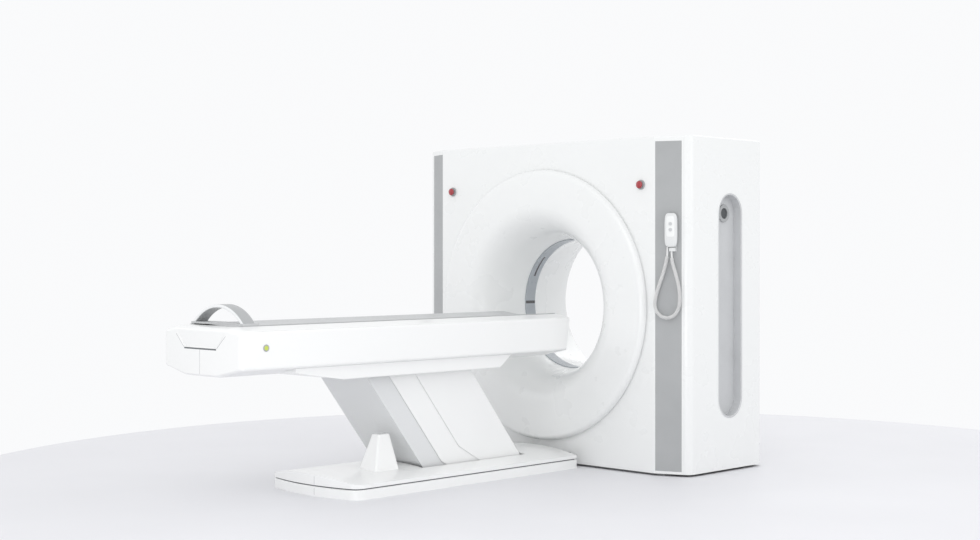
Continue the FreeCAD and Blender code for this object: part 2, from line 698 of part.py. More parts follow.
def tower_frustum(grow, z0, z1):
    """Four-sided tower that narrows upwards, cut between two heights."""
    foot_z, half_x, half_y, top_x, top_y = 88.0, 66.0, 80.0, 26.0, 38.0

    def section(z):
        t = (z - foot_z) / (TOWER_TOP_Z - foot_z)
        hx, hy = half_x + (top_x - half_x) * t + grow, half_y + (top_y - half_y) * t + grow
        dy = 12.0 * t
        corners = [V(TOWER_X + sx * hx, TOWER_Y + dy + sy * hy, z) for sx, sy in
                   ((-1, -1), (1, -1), (1, 1), (-1, 1))]
        return Part.makePolygon(corners + corners[:1])
    return Part.makeLoft([section(z0), section(z1)], True, True)


def pump_tower_cover():
    tower = tower_frustum(0, 70, TOWER_TOP_Z)
    slanted = [e for e in tower.Edges if e.BoundBox.ZLength > 50]
    tower = tower.makeFillet(12, slanted)
    tower = tower.cut(tower_frustum(-4, 60, TOWER_TOP_Z - 4))
    vent = box(TOWER_X - 8, TOWER_X + 8, TOWER_Y - 8, TOWER_Y + 34, TOWER_TOP_Z - 12, TOWER_TOP_Z + 5)
    return tower.cut(vent)


def lift_pump():
    """Upright motor and pump that drives the lift's cylinder."""
    return rod_z(32, 60, 215, TOWER_X, TOWER_Y + 4).fuse(box(75, 140, -1640, -1545, 20, 60)).removeSplitter()


FRONT_EDGE, REAR_EDGE = -47.0, 84.0
COVER_RISE = 29.0       # the covers' top edge, along the arm beyond the upper pivot


def cover_top(across):
    """How far along the arm a lift cover's level top edge is, at a distance across the arm."""
    return ARM_LENGTH + COVER_RISE - across * SIN / COS


def cover_outline(front, rear, front_start, rear_start):
    """Side plate of a lift cover, across and along its arm, with its top edge level inside the shroud."""
    return [(front, front_start), (rear, rear_start), (rear, cover_top(rear)), (front, cover_top(front))]


def front_arm_cover():
    """Innermost cover: two side plates and a dark front plate with a notch that clears the pump tower."""
    outline = cover_outline(FRONT_EDGE, REAR_EDGE, -16, -68)
    sides = [arm_prism(FRONT_PIVOT_Y, outline, x, x + 3) for x in (-183, 180)]
    face = arm_block(FRONT_PIVOT_Y, (FRONT_EDGE, FRONT_EDGE + 3), (-16, cover_top(FRONT_EDGE)), -183, 183)
    notch = arm_block(FRONT_PIVOT_Y, (-60, -30), (185, 400), 24, 180)
    crank_gap = arm_block(FRONT_PIVOT_Y, (-60, -30), (-80, 50), 50, 110)
    return face.cut(notch).cut(crank_gap).fuse(sides).removeSplitter()


MIDDLE_FRONT, MIDDLE_REAR = -102.0, 110.0


def middle_cover():
    """Middle cover: two side plates on cross tubes, carried by two light links on the middle pins."""
    outline = [(MIDDLE_FRONT, 124), (-50, -2), (MIDDLE_REAR, -95)]
    outline += [(MIDDLE_REAR, cover_top(MIDDLE_REAR)), (MIDDLE_FRONT, cover_top(MIDDLE_FRONT))]
    shape = None
    for x_plate, x_link in ((-187.5, -174), (184.5, 166)):
        plate = arm_prism(MIDDLE_PIVOT_Y, outline, x_plate, x_plate + 3)
        link = arm_block(MIDDLE_PIVOT_Y, (-16, 38), (-16, ARM_LENGTH + 16), x_link, x_link + 8)
        side = plate.fuse(link)
        shape = side if shape is None else shape.fuse(side)
    for along in (190, 400):
        shape = shape.fuse(rod_x(8, -186, 186, *arm_point(MIDDLE_PIVOT_Y, 29, along)))
    return hub_bores(shape.removeSplitter(), MIDDLE_PIVOT_Y)


def rear_arm():
    arm = None
    for x in (-145, 95):
        bar = arm_block(REAR_PIVOT_Y, (-22, 22), (8, ARM_LENGTH - 8), x, x + 50)
        arm = bar if arm is None else arm.fuse(bar)
    arm = arm.fuse(hubs(REAR_PIVOT_Y, -145, 145, 24))
    for along in (60, 440):
        for x in (-130, 100):
            arm = arm.fuse(arm_block(REAR_PIVOT_Y, (20, 148), (along, along + 30), x, x + 30))
    return hub_bores(arm.removeSplitter(), REAR_PIVOT_Y)


def rear_arm_cover():
    """Outer cover: two side plates with their lower front corners cut back, and a rear plate."""
    front, rear = -151.0, 151.0
    outline = [(front, 247), (-69, 45), (rear, -128), (rear, cover_top(rear)), (front, cover_top(front))]
    sides = [arm_prism(REAR_PIVOT_Y, outline, x, x + 3) for x in (-192, 189)]
    face = arm_block(REAR_PIVOT_Y, (rear - 3, rear), (-126, cover_top(rear)), -192, 192)
    return face.fuse(sides).removeSplitter()


# ---- table top ----
def table_frame():
    """Two rails, end cross members, a deck above the lift, and lugs down to the upper pins."""
    parts = [box(215, 255, -2400, -450, 655, 745), box(-255, -215, -2400, -450, 655, 745),
             box(-215, 215, -2400, -2340, 655, 745), box(-215, 215, -520, -450, 655, 745),
             box(-255, 255, -2400, -450, 745, 755)]
    frame = parts[0].fuse(parts[1:])
    for x in (-162, 150):
        lug = prism_x([(-1706, 528), (-1195, 528), (-1110, 745), (-1770, 745)], x, x + 12)
        frame = frame.fuse(lug)
    frame = frame.removeSplitter()
    for y in (FRONT_PIVOT_Y, MIDDLE_PIVOT_Y, REAR_PIVOT_Y):
        frame = frame.cut(rod_x(PIN_R, -200, 200, y + UPPER_DY, UPPER_Z))
    return frame


def lift_shroud():
    """Tapered housing under the beam that the lift covers run up into, open at the back for the rear cover,
    which swings up as the table comes down."""
    outline = [(-2236, 612), (-1946, 566), (-907, 566), (-816, 637), (-2236, 637)]
    shell = prism_x(outline, -272, 272)
    floor_ends = [e for e in shell.Edges if e.BoundBox.XLength < 0.01 and e.BoundBox.ZMin > 565.9
                  and e.BoundBox.ZMax < 566.1]
    shell = shell.makeFillet(8, floor_ends)
    hollow = prism_x([(-2100, 597), (-1940, 571), (-912, 571), (-838, 640), (-2100, 640)], -267, 267)
    shell = shell.cut(hollow).cut(box(-200, 200, LEG_OPENING_Y0, SHROUD_OPENING_Y1, 560, 610))
    return shell.cut(beam_block(0.3, -2600, -300))


def beam_points(inset):
    """Half section of the beam housing: sloping shoulder, side, shallow V underside."""
    return [(BEAM_HALF_WIDTH - inset, 638 + inset * 0.6), (127, 601 + inset),
            (-127, 601 + inset), (-BEAM_HALF_WIDTH + inset, 638 + inset * 0.6),
            (-BEAM_HALF_WIDTH + inset, 811 - inset * 0.4), (-208, 828 - inset),
            (208, 828 - inset), (BEAM_HALF_WIDTH - inset, 811 - inset * 0.4)]


def beam_block(grow, y0, y1):
    return prism_y(beam_points(-grow), y0, y1)


def head_end(shell_depth):
    """Wedge in front of the beam's slanted head end."""
    y = BEAM_Y1 - shell_depth
    return prism_x([(y - 35, 590), (y + 40, 590), (y + 40, 870), (y + 5, 870)], -320, 320)


def beam_housing():
    """Long white housing, open on top for the cradle and underneath for the lift."""
    shell = beam_block(0, BEAM_Y0 + 90, BEAM_Y1)
    shell = round_edges(shell, 14, lambda e: e.BoundBox.YLength > 1000 and
                        (abs(e.BoundBox.ZMax - 638) < 1 or abs(e.BoundBox.ZMax - 811) < 1))
    shell = shell.cut(head_end(shell_depth=0))
    hollow = beam_block(-4, BEAM_Y0 + 80, BEAM_Y1).cut(head_end(shell_depth=4))
    shell = shell.cut(hollow)
    shell = shell.cut(box(-208, 208, BEAM_Y0, BEAM_Y1 + 10, 795, 860))
    shell = shell.cut(box(-203, 203, LEG_OPENING_Y0, BEAM_OPENING_Y1, 590, 650))
    return shell.cut(rod_x(11.5, 280, 310, BUTTON_Y, BUTTON_Z))


BUTTON_Y, BUTTON_Z = -2426.0, 735.0


def foot_cap():
    """Hollow end cap with a bowed face, rounded corners and a shallow panel in the middle."""
    y0, y1 = BEAM_Y0, BEAM_Y0 + 90
    nose = Part.makeCylinder(4200, 400, V(0, y0 + 4200, 550), V(0, 0, 1))
    cap = beam_block(0, y0, y1).common(nose)
    corners = [e for e in cap.Edges if e.BoundBox.XLength < 0.5 and e.BoundBox.ZLength > 100
               and e.BoundBox.YMin < y0 + 40]
    cap = cap.makeFillet(26, corners)
    fall = [(y0 - 10, 795), (y0 + 2, 812), (y0 + 46, 829), (y0 + 46, 860), (y0 - 10, 860)]
    slope = prism_x(fall, -320, 320)
    cap = cap.cut(slope)
    panel = prism_y([(-126, 748), (126, 748), (217, 806), (-217, 806)], y0 - 5, y0 + 3)
    slot = box(-123, 123, y0 - 5, y0 + 6, 722, 730)
    hollow = beam_block(-6, y0 + 34, y1 + 1).common(nose)
    return cap.cut(panel).cut(slot).cut(hollow).cut(box(-208, 208, y0 + 88, y1 + 1, 795, 860))


def cradle_board():
    """Concave carbon-fibre couch top, rounded at the head end."""
    w, top = CRADLE_HALF_WIDTH, CRADLE_TOP_Z
    y0, y1 = BEAM_Y0 + 93, BEAM_Y1 + 4
    outer = [V(-w, y0, top), V(-w, y0, top - 20), V(-w + 60, y0, top - 34), V(w - 60, y0, top - 34),
             V(w, y0, top - 20), V(w, y0, top), V(w - 10, y0, top)]
    edges = [Part.makeLine(p, q) for p, q in zip(outer, outer[1:])]
    edges.append(Part.Arc(V(w - 10, y0, top), V(0, y0, top - 18), V(-w + 10, y0, top)).toShape())
    edges.append(Part.makeLine(V(-w + 10, y0, top), V(-w, y0, top)))
    board = Part.Face(Part.Wire(Part.__sortEdges__(edges))).extrude(V(0, y1 - y0, 0))
    return round_edges(board, 30, lambda e: e.BoundBox.ZLength > 15 and e.BoundBox.YMin > y1 - 1
                       and e.BoundBox.XLength < 0.1)


def cradle_tail():
    """Raised block at the couch top's foot end, which carries the handle."""
    y0 = BEAM_Y0 + 93
    block = box(-CRADLE_HALF_WIDTH, CRADLE_HALF_WIDTH, y0, y0 + 90, CRADLE_TOP_Z, CRADLE_TOP_Z + 9)
    return round_edges(block, 6, is_upright)


HANDLE = dict(half_span=195.0, rise=84.0, y0=-2475.0, y1=-2403.0, thick=15.0)


def handle_arc(half_span, base, top, y):
    return Part.Arc(V(-half_span, y, base), V(0, y, top), V(half_span, y, base)).toShape()


def cradle_handle():
    """Wide strap bent in an arch over the couch top's foot end."""
    h = HANDLE
    base = CRADLE_TOP_Z + 9
    outer = handle_arc(h["half_span"], base, base + h["rise"], h["y0"])
    inner = handle_arc(h["half_span"] - 24, base, base + h["rise"] - h["thick"], h["y0"])
    a, b = V(-h["half_span"], h["y0"], base), V(-h["half_span"] + 24, h["y0"], base)
    c, d = V(h["half_span"] - 24, h["y0"], base), V(h["half_span"], h["y0"], base)
    wire = Part.Wire(Part.__sortEdges__([outer, inner, Part.makeLine(a, b), Part.makeLine(c, d)]))
    strap = Part.Face(wire).extrude(V(0, h["y1"] - h["y0"], 0))
    return strap.makeFillet(4, [e for e in strap.Edges if e.Length > 300])


def cradle_rails():
    """Two slide rails on the table frame, under the couch top's edges."""
    return Part.makeCompound([box(x, x + 24, -2380, -460, 755, 785) for x in (-180, 156)])


def cradle_runners():
    """Two runner blocks under the couch top that slide on the rails."""
    board = cradle_board()
    blocks = []
    for x in (-190, 146):
        block = box(x, x + 44, -2340, -2100, 760, CRADLE_TOP_Z - 18)
        blocks.append(block.cut(box(x + 9.6, x + 34.4, -2350, -2090, 750, 785.4)).cut(board))
    return Part.makeCompound(blocks)


def table_button():
    button = rod_x(10.5, 292, 304, BUTTON_Y, BUTTON_Z)
    return button.makeFillet(1.5, [e for e in button.Edges if e.BoundBox.XMin > 303.9 and e.Closed])


def table_button_bezel():
    ring = rod_x(16, 300, 302.5, BUTTON_Y, BUTTON_Z).fuse(rod_x(11.4, 284, 300, BUTTON_Y, BUTTON_Z))
    return ring.removeSplitter().cut(rod_x(10.8, 288, 310, BUTTON_Y, BUTTON_Z))


NODES = {
    "front_cover": front_cover,
    "side_covers": lambda: pair(side_cover()),
    "top_cover": top_cover,
    "rear_cover": rear_cover,
    "ring_cover": ring_cover,
    "rear_ring_cover": rear_ring_cover,
    "scan_window": scan_window,
    "laser_windows": lambda: Part.makeCompound(laser_slots(0.2)),
    "trim_strips": lambda: pair(trim_strip()),
    "grip_trays": lambda: pair(grip_tray()),
    "speaker_bezels": lambda: pair(speaker("bezel")),
    "speaker_grilles": lambda: pair(speaker("grille")),
    "estop_collars": lambda: Part.makeCompound([estop_collar(-ESTOP_X), estop_collar(ESTOP_X)]),
    "estop_button_left": lambda: estop_button(-ESTOP_X),
    "estop_button_right": lambda: estop_button(ESTOP_X),
    "hand_controller": hand_controller,
    "controller_button_up": lambda: controller_buttons()[0],
    "controller_button_down": lambda: controller_buttons()[1],
    "controller_holder": controller_holder,
    "controller_cord": lambda: cord_tube(CORD_POINTS, CORD_R),
    "gantry_base_frame": gantry_base_frame,
    "stator_plate": stator_plate,
    "bearing_outer_race": lambda: ring_y(612.5, 650, 92, 150),
    "bearing_inner_race": lambda: ring_y(575, 612, 90, 148),
    "rotor_plate": rotor_plate,
    "xray_tube": xray_tube,
    "collimator": collimator,
    "detector_arc": detector_arc,
    "hv_generator": hv_generator,
    "counterweights": counterweights,
    "slip_ring": slip_ring,
    "brush_block": brush_block,
    "drive_motor": drive_motor,
    "motor_pulley": motor_pulley,
    "drive_belt": drive_belt,
    "table_base_plate": table_base_plate,
    "base_skirt": base_skirt,
    "base_top_cover": base_top_cover,
    "well_flap": well_flap,
    "flap_pins": flap_pins,
    "pump_tower_cover": pump_tower_cover,
    "lift_drive": lambda: Part.makeCompound([lift_pump(), lift_cylinder()]),
    "lift_rod": lift_rod,
    "lower_pivot_pins": lambda: pins(0, PIVOT_Z),
    "front_arm": front_arm,
    "front_arm_cover": front_arm_cover,
    "middle_cover": middle_cover,
    "rear_arm": rear_arm,
    "rear_arm_cover": rear_arm_cover,
    "table_frame": table_frame,
    "upper_pivot_pins": lambda: pins(UPPER_DY, UPPER_Z),
    "lift_shroud": lift_shroud,
    "beam_housing": beam_housing,
    "foot_cap": foot_cap,
    "cradle_rails": cradle_rails,
    "cradle_top": lambda: Part.makeCompound([cradle_board(), cradle_tail()]),
    "cradle_runners": cradle_runners,
    "cradle_handle": cradle_handle,
    "table_button": table_button,
    "table_button_bezel": table_button_bezel,
}

os.makedirs("parts", exist_ok=True)
for name, make in NODES.items():
    shape = make()
    solids = shape.Solids
    shape = solids[0] if len(solids) == 1 else Part.makeCompound(solids)
    extent = shape.BoundBox
    print("%-24s solids %2d valid %s volume %.4f l  x %.0f..%.0f y %.0f..%.0f z %.0f..%.0f" % (
        name, len(solids), shape.isValid(), shape.Volume / 1e6, extent.XMin, extent.XMax, extent.YMin, extent.YMax,
        extent.ZMin, extent.ZMax))
    shape.exportStep("parts/%s.step" % name)
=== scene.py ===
import bmesh
import bpy
import json
import math
import numpy as np
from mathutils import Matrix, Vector


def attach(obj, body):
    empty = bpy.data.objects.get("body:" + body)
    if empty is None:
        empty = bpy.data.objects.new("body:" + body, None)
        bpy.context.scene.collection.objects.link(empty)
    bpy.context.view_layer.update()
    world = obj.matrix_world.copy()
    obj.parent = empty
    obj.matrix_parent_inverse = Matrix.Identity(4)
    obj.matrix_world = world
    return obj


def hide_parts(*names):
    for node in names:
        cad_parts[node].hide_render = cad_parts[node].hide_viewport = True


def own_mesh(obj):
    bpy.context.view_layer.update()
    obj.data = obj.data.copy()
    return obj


# CT scanner: materials for its parts, computed surfaces for what shows most, lights and camera.
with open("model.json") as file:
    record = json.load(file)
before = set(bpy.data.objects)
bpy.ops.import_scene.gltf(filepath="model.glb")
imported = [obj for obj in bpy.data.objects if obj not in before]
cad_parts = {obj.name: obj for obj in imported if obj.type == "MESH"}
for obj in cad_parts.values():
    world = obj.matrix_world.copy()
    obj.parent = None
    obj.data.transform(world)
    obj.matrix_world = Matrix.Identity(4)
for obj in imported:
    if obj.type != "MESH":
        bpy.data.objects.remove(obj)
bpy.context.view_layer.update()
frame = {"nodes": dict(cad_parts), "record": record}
NODES = frame["nodes"]

# Sizes in metres, as the model has them.
ISO = 0.870                # height of the bore axis
FACET_ANGLE = 22.5         # degrees that each facet leans back from the front
PANEL_HALF = 0.792         # half width of the flat front between the facets
FRONT_Y = -0.293           # front face of the gantry
RING_JOIN_R = 0.543        # radius where the ring cover's bell mouth meets its face
FOOT_Y = -2.5707           # foot end of the table, just inside the model's own end
CAP_BACK_Y = -2.481        # back of the foot cap
BEAM_HALF = 0.300          # half width of the beam
BOW = 8.4                  # the foot cap's face bows by x^2 / BOW
SLOT_Z = 0.726             # height of the foot cap's slot
HANDLE_Y = -2.439          # middle of the couch top's handle
CONTROLLER_ALONG = 0.097   # the hand controller's middle along the facet
CONTROLLER_Z = 1.275       # and its height
CORD_OUT = 0.023           # how far the cord hangs in front of the facet
LEAN = 38.1                # degrees that the lift leans from upright
NOSE_Y = -1.965            # furthest point of the base's bowed front end
NOSE_R = 1.029             # radius of that bow
SEAM_X = 0.065             # place of the upright seam across the base


# ---- materials ----
class Mat:
    """A node material with short calls for noise, colour variation and bump."""

    def __init__(self, name, rough=0.4, metal=0.0, coat=0.0, specular=0.5):
        self.mat = bpy.data.materials.new(name)
        self.mat.use_nodes = True
        self.tree = self.mat.node_tree
        self.bsdf = self.tree.nodes["Principled BSDF"]
        self.set("Roughness", rough)
        self.set("Metallic", metal)
        self.set("Coat Weight", coat)
        self.set("Coat Roughness", 0.08)
        self.set("Specular IOR Level", specular)
        coords = self.tree.nodes.new("ShaderNodeTexCoord")
        self.point = coords.outputs["Object"]

    def set(self, socket, value):
        self.bsdf.inputs[socket].default_value = value

    def node(self, kind, **values):
        made = self.tree.nodes.new(kind)
        for key, value in values.items():
            setattr(made, key, value)
        return made

    def link(self, out, into):
        self.tree.links.new(out, into)

    def noise(self, scale, detail=4.0, stretch=(1, 1, 1)):
        """Cloudy noise, stretched along the axes as given."""
        mapping = self.node("ShaderNodeMapping")
        mapping.inputs["Scale"].default_value = stretch
        self.link(self.point, mapping.inputs["Vector"])
        tex = self.node("ShaderNodeTexNoise")
        tex.inputs["Scale"].default_value = scale
        tex.inputs["Detail"].default_value = detail
        self.link(mapping.outputs["Vector"], tex.inputs["Vector"])
        return tex.outputs["Fac"]

    def ramp(self, fac, low, high, a=0.3, b=0.7):
        """Colour that goes from low to high as fac goes from a to b."""
        ramp = self.node("ShaderNodeValToRGB")
        ramp.color_ramp.elements[0].position = a
        ramp.color_ramp.elements[0].color = (*low, 1)
        ramp.color_ramp.elements[1].position = b
        ramp.color_ramp.elements[1].color = (*high, 1)
        self.link(fac, ramp.inputs["Fac"])
        return ramp.outputs["Color"]

    def colour(self, low, high, scale=3.0, stretch=(1, 1, 1)):
        """Colour that drifts between low and high."""
        shade = self.ramp(self.noise(scale, 3.0, stretch), low, high)
        self.link(shade, self.bsdf.inputs["Base Color"])
        return self

    def roughness(self, low, high, scale=40.0, stretch=(1, 1, 1)):
        """Gloss that varies between two roughnesses."""
        level = self.ramp(self.noise(scale, 4.0, stretch), (low,) * 3, (high,) * 3)
        self.link(level, self.bsdf.inputs["Roughness"])
        return self

    def bump(self, scale, distance, strength=0.5, stretch=(1, 1, 1)):
        """Fine relief from the same cloudy noise."""
        made = self.node("ShaderNodeBump")
        made.inputs["Strength"].default_value = strength
        made.inputs["Distance"].default_value = distance
        self.link(self.noise(scale, 5.0, stretch), made.inputs["Height"])
        self.link(made.outputs["Normal"], self.bsdf.inputs["Normal"])
        return self


def shades(r, g, b, spread=0.03):
    """A colour and the same colour a little darker, for a material to drift between."""
    return (r * (1 - spread), g * (1 - spread), b * (1 - spread)), (r, g, b)


def enamel(name, rgb, rough=0.28, coat=0.35):
    """Sprayed gloss plastic: faint colour drift, fine orange peel, slightly uneven gloss."""
    m = Mat(name, rough, coat=coat)
    m.colour(*shades(*rgb, 0.008), scale=0.9)
    m.roughness(rough * 0.92, rough * 1.1, 5)
    return m.bump(520, 0.00004, 0.2).mat


def moulded(name, rgb, rough=0.5, grain=900):
    """Moulded plastic with a fine spark-eroded grain."""
    m = Mat(name, rough)
    m.colour(*shades(*rgb, 0.06), scale=6)
    m.roughness(rough * 0.85, min(rough * 1.2, 1), 60)
    return m.bump(grain, 0.0002, 0.4).mat


def painted(name, rgb, rough=0.42):
    """Brushed or powder paint on steel, a little uneven."""
    m = Mat(name, rough)
    m.colour(*shades(*rgb, 0.05), scale=4)
    return m.bump(260, 0.0003, 0.35).mat


def metal(name, rgb, rough=0.3, stretch=(1, 1, 40)):
    """Machined metal, with marks drawn out across one axis."""
    m = Mat(name, rough, metal=1.0)
    m.colour(*shades(*rgb, 0.12), scale=14, stretch=stretch)
    m.roughness(rough * 0.7, rough * 1.4, 30, stretch)
    return m.bump(60, 0.0002, 0.3, stretch).mat


def strap_with_painted_shade(name, face, edge, middle_y, half):
    """Satin strap of white plastic whose broad faces are painted grey as shade and whose two rims, beyond
    half from middle_y, stay white.
    """
    m = Mat(name, 0.38, coat=0.2)
    axes = m.node("ShaderNodeSeparateXYZ")
    m.link(m.point, axes.inputs["Vector"])
    shift = m.node("ShaderNodeMath", operation="SUBTRACT")
    m.link(axes.outputs["Y"], shift.inputs[0])
    shift.inputs[1].default_value = middle_y
    away = m.node("ShaderNodeMath", operation="ABSOLUTE")
    m.link(shift.outputs["Value"], away.inputs[0])
    cloud = m.node("ShaderNodeMath", operation="MULTIPLY_ADD")
    m.link(m.noise(30), cloud.inputs[0])
    cloud.inputs[1].default_value = 0.0006
    m.link(away.outputs["Value"], cloud.inputs[2])
    m.link(m.ramp(cloud.outputs["Value"], face, edge, half, half + 0.0008), m.bsdf.inputs["Base Color"])
    return m.bump(520, 0.00004, 0.2).mat


def glass(name, rgb, rough=0.08):
    """Dark polished window."""
    m = Mat(name, rough, coat=1.0)
    m.colour(*shades(*rgb, 0.2), scale=20)
    return m.bump(300, 0.00005, 0.1).mat


MATERIALS = {
    "panel_white": enamel("panel_white", (0.86, 0.87, 0.865)),
    "table_white": enamel("table_white", (0.88, 0.885, 0.88), 0.3),
    # The handle is white all over; the grey of its broad faces is painted shade.
    "handle_white": strap_with_painted_shade("handle_white", (0.40, 0.41, 0.415), (0.84, 0.85, 0.855), HANDLE_Y, 0.0335),
    "window_film": moulded("window_film", (0.42, 0.45, 0.48), 0.3),
    "dark_glass": glass("dark_glass", (0.02, 0.02, 0.025)),
    "grey_plastic": moulded("grey_plastic", (0.41, 0.42, 0.425), 0.45),
    "tray_grey": moulded("tray_grey", (0.6, 0.61, 0.62), 0.45),
    "dark_plastic": moulded("dark_plastic", (0.08, 0.085, 0.09), 0.5),
    "red_plastic": enamel("red_plastic", (0.38, 0.035, 0.045), 0.3),
    "green_plastic": enamel("green_plastic", (0.55, 0.65, 0.1), 0.3),
    "controller_white": enamel("controller_white", (0.74, 0.75, 0.75), 0.4, 0.1),
    "cord_rubber": moulded("cord_rubber", (0.80, 0.80, 0.795), 0.45, 1500),
    "frame_steel": painted("frame_steel", (0.45, 0.46, 0.47)),
    "machined_steel": metal("machined_steel", (0.6, 0.61, 0.62)),
    "cast_aluminium": metal("cast_aluminium", (0.7, 0.71, 0.72), 0.45, (1, 1, 1)),
    "tube_lead": painted("tube_lead", (0.12, 0.13, 0.14)),
    "detector_black": moulded("detector_black", (0.03, 0.03, 0.035), 0.55),
    "slip_brass": metal("slip_brass", (0.75, 0.58, 0.28), 0.25),
    # White plastic darkened to grey: painted shade for the front leg's face, which stands in shadow.
    "leg_grey": enamel("leg_grey", (0.72, 0.73, 0.735), 0.35),
    "cradle_grey": moulded("cradle_grey", (0.56, 0.57, 0.575), 0.4),
}
for part in frame["record"]["subparts"]:
    node = NODES[part["node"]]
    node.data.materials.clear()
    node.data.materials.append(MATERIALS[part["material_slot"]])


# ---- computed surfaces ----
FC, FS = math.cos(math.radians(FACET_ANGLE)), math.sin(math.radians(FACET_ANGLE))
ALONG = np.array([FC, FS, 0.0])       # along the right facet, away from the front panel
OUTWARD = np.array([FS, -FC, 0.0])    # straight out from it
UP = np.array([0.0, 0.0, 1.0])


def facet(along, out, z):
    """A point on the right facet, given along it, out from it and its height, all in metres."""
    return np.array([PANEL_HALF + along * FC + out * FS, FRONT_Y + along * FS - out * FC, z])


def unit(vectors):
    """Vectors of the same directions and of length one."""
    return vectors / np.linalg.norm(vectors, axis=-1, keepdims=True)


def arc(radius, angle):
    """Points (radius cos a, radius sin a) of a circle about the origin."""
    return radius * np.stack([np.cos(angle), np.sin(angle)], -1)


def mesh_piece(name, points, faces, material, body, replaces=(), sharp=35.0):
    """A closed mesh from points and faces, turned outwards and shaded smooth but for its sharp edges."""
    mesh = bpy.data.meshes.new(name)
    mesh.from_pydata(np.asarray(points, dtype=float).reshape(-1, 3).tolist(), [], faces)
    mesh.validate()
    piece = bpy.data.objects.new(name, mesh)
    bpy.context.scene.collection.objects.link(piece)
    shell = bmesh.new()
    shell.from_mesh(mesh)
    bmesh.ops.recalc_face_normals(shell, faces=shell.faces)
    if shell.calc_volume(signed=True) < 0:
        bmesh.ops.reverse_faces(shell, faces=shell.faces)
    shell.to_mesh(mesh)
    shell.free()
    mesh.shade_smooth()
    mesh.set_sharp_from_angle(angle=math.radians(sharp))
    mesh.materials.append(MATERIALS[material])
    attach(piece, body)
    if replaces:
        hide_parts(*replaces)
    return piece


def grid_faces(rows, cols, wrap_rows, wrap_cols):
    """Quads over a grid of points numbered row by row, which may close on itself either way."""
    row = np.arange(rows if wrap_rows else rows - 1)[:, None]
    col = np.arange(cols if wrap_cols else cols - 1)
    here, beyond = row * cols, (row + 1) % rows * cols
    step = (col + 1) % cols
    return np.stack([here + col, here + step, beyond + step, beyond + col], -1).reshape(-1, 4).tolist()


def tube_faces(rings, around):
    """Quads between rings of points, and a flat face over the first ring and the last."""
    ends = [list(range(around)), list(range((rings - 1) * around, rings * around))]
    return grid_faces(rings, around, False, True) + ends


def revolved(name, profile, steps, material, body, replaces=(), sharp=35.0):
    """Closed outline of (radius, Y) points turned about the bore axis: x = r cos a, z = ISO + r sin a."""
    angle = np.linspace(0, 2 * math.pi, steps, endpoint=False)[:, None]
    r, y = profile[:, 0], profile[:, 1]
    points = np.stack([r * np.cos(angle), np.broadcast_to(y, (steps, len(r))), ISO + r * np.sin(angle)], -1)
    return mesh_piece(name, points, grid_faces(steps, len(r), True, True), material, body, replaces, sharp)


def swept(name, path, section, material, body, replaces=(), side=(0, 0, 1), sharp=35.0):
    """Closed section (across, up) carried along a path of points, with flat ends. Across is square to the
    path and to side, and up is square to both."""
    along = unit(np.gradient(path, axis=0))
    across = unit(np.cross(along, np.asarray(side, float)))
    up = np.cross(across, along)
    points = path[:, None] + section[None, :, :1] * across[:, None] + section[None, :, 1:] * up[:, None]
    return mesh_piece(name, points, tube_faces(*points.shape[:2]), material, body, replaces, sharp)


def bead(name, path, section, material, body, normal):
    """Closed section (across, up) carried round a closed flat path whose plane has the given normal."""
    along = unit(np.roll(path, -1, axis=0) - np.roll(path, 1, axis=0))
    up = np.asarray(normal, float)
    across = np.cross(along, up)
    points = path[:, None] + section[None, :, :1] * across[:, None] + section[None, :, 1:] * up
    return mesh_piece(name, points, grid_faces(*points.shape[:2], True, True), material, body)


def turned_solid(name, profile, centre, axis, steps, material, body, replaces=(), sharp=40.0):
    """Solid of revolution about an axis: centre + h * axis + r * (a cos t + b sin t) over (r, h) points from
    the foot to the top, closed by flat discs at both ends."""
    axis = np.asarray(axis, float)
    a = unit(np.cross(axis, (0, 0, 1.0) if abs(axis[2]) < 0.9 else (1.0, 0, 0)))
    b = np.cross(axis, a)
    angle = np.linspace(0, 2 * math.pi, steps, endpoint=False)[:, None]
    spokes = np.cos(angle) * a + np.sin(angle) * b
    r, h = profile[:, :1, None], profile[:, 1:, None]
    points = np.asarray(centre, float) + h * axis + r * spokes
    return mesh_piece(name, points, tube_faces(len(profile), steps), material, body, replaces, sharp)


def pillow(name, centre, axes, halves, power, material, body, replaces=(), n=28):
    """Superellipsoid block: |x/a|^p + |y/b|^p + |z/c|^p = 1, spread over rings from one pole to the other."""
    def wave(f, t, e):
        v = f(t)
        return np.sign(v) * np.abs(v) ** e
    e = 2.0 / power
    lat = np.linspace(-math.pi / 2, math.pi / 2, n)[1:-1]
    lon = np.linspace(0, 2 * math.pi, 2 * n, endpoint=False)
    la, lo = np.meshgrid(lat, lon, indexing="ij")
    u = wave(np.cos, la, e) * wave(np.cos, lo, e) * halves[0]
    v = wave(np.cos, la, e) * wave(np.sin, lo, e) * halves[1]
    w = wave(np.sin, la, e) * halves[2]
    axes = np.asarray(axes, float)
    points = centre + u[..., None] * axes[0] + v[..., None] * axes[1] + w[..., None] * axes[2]
    return mesh_piece(name, points, tube_faces(*la.shape), material, body, replaces, 50.0)


def rounded_section(half_w, half_h, radius, steps=5):
    """Rectangle with quarter-circle corners, as (across, up) points: centre + radius (cos a, sin a)."""
    corners = np.array([(1, 1), (-1, 1), (-1, -1), (1, -1)]) * (half_w - radius, half_h - radius)
    angle = np.linspace(0, math.pi / 2, steps) + np.arange(4)[:, None] * math.pi / 2
    return (corners[:, None] + arc(radius, angle)).reshape(-1, 2)


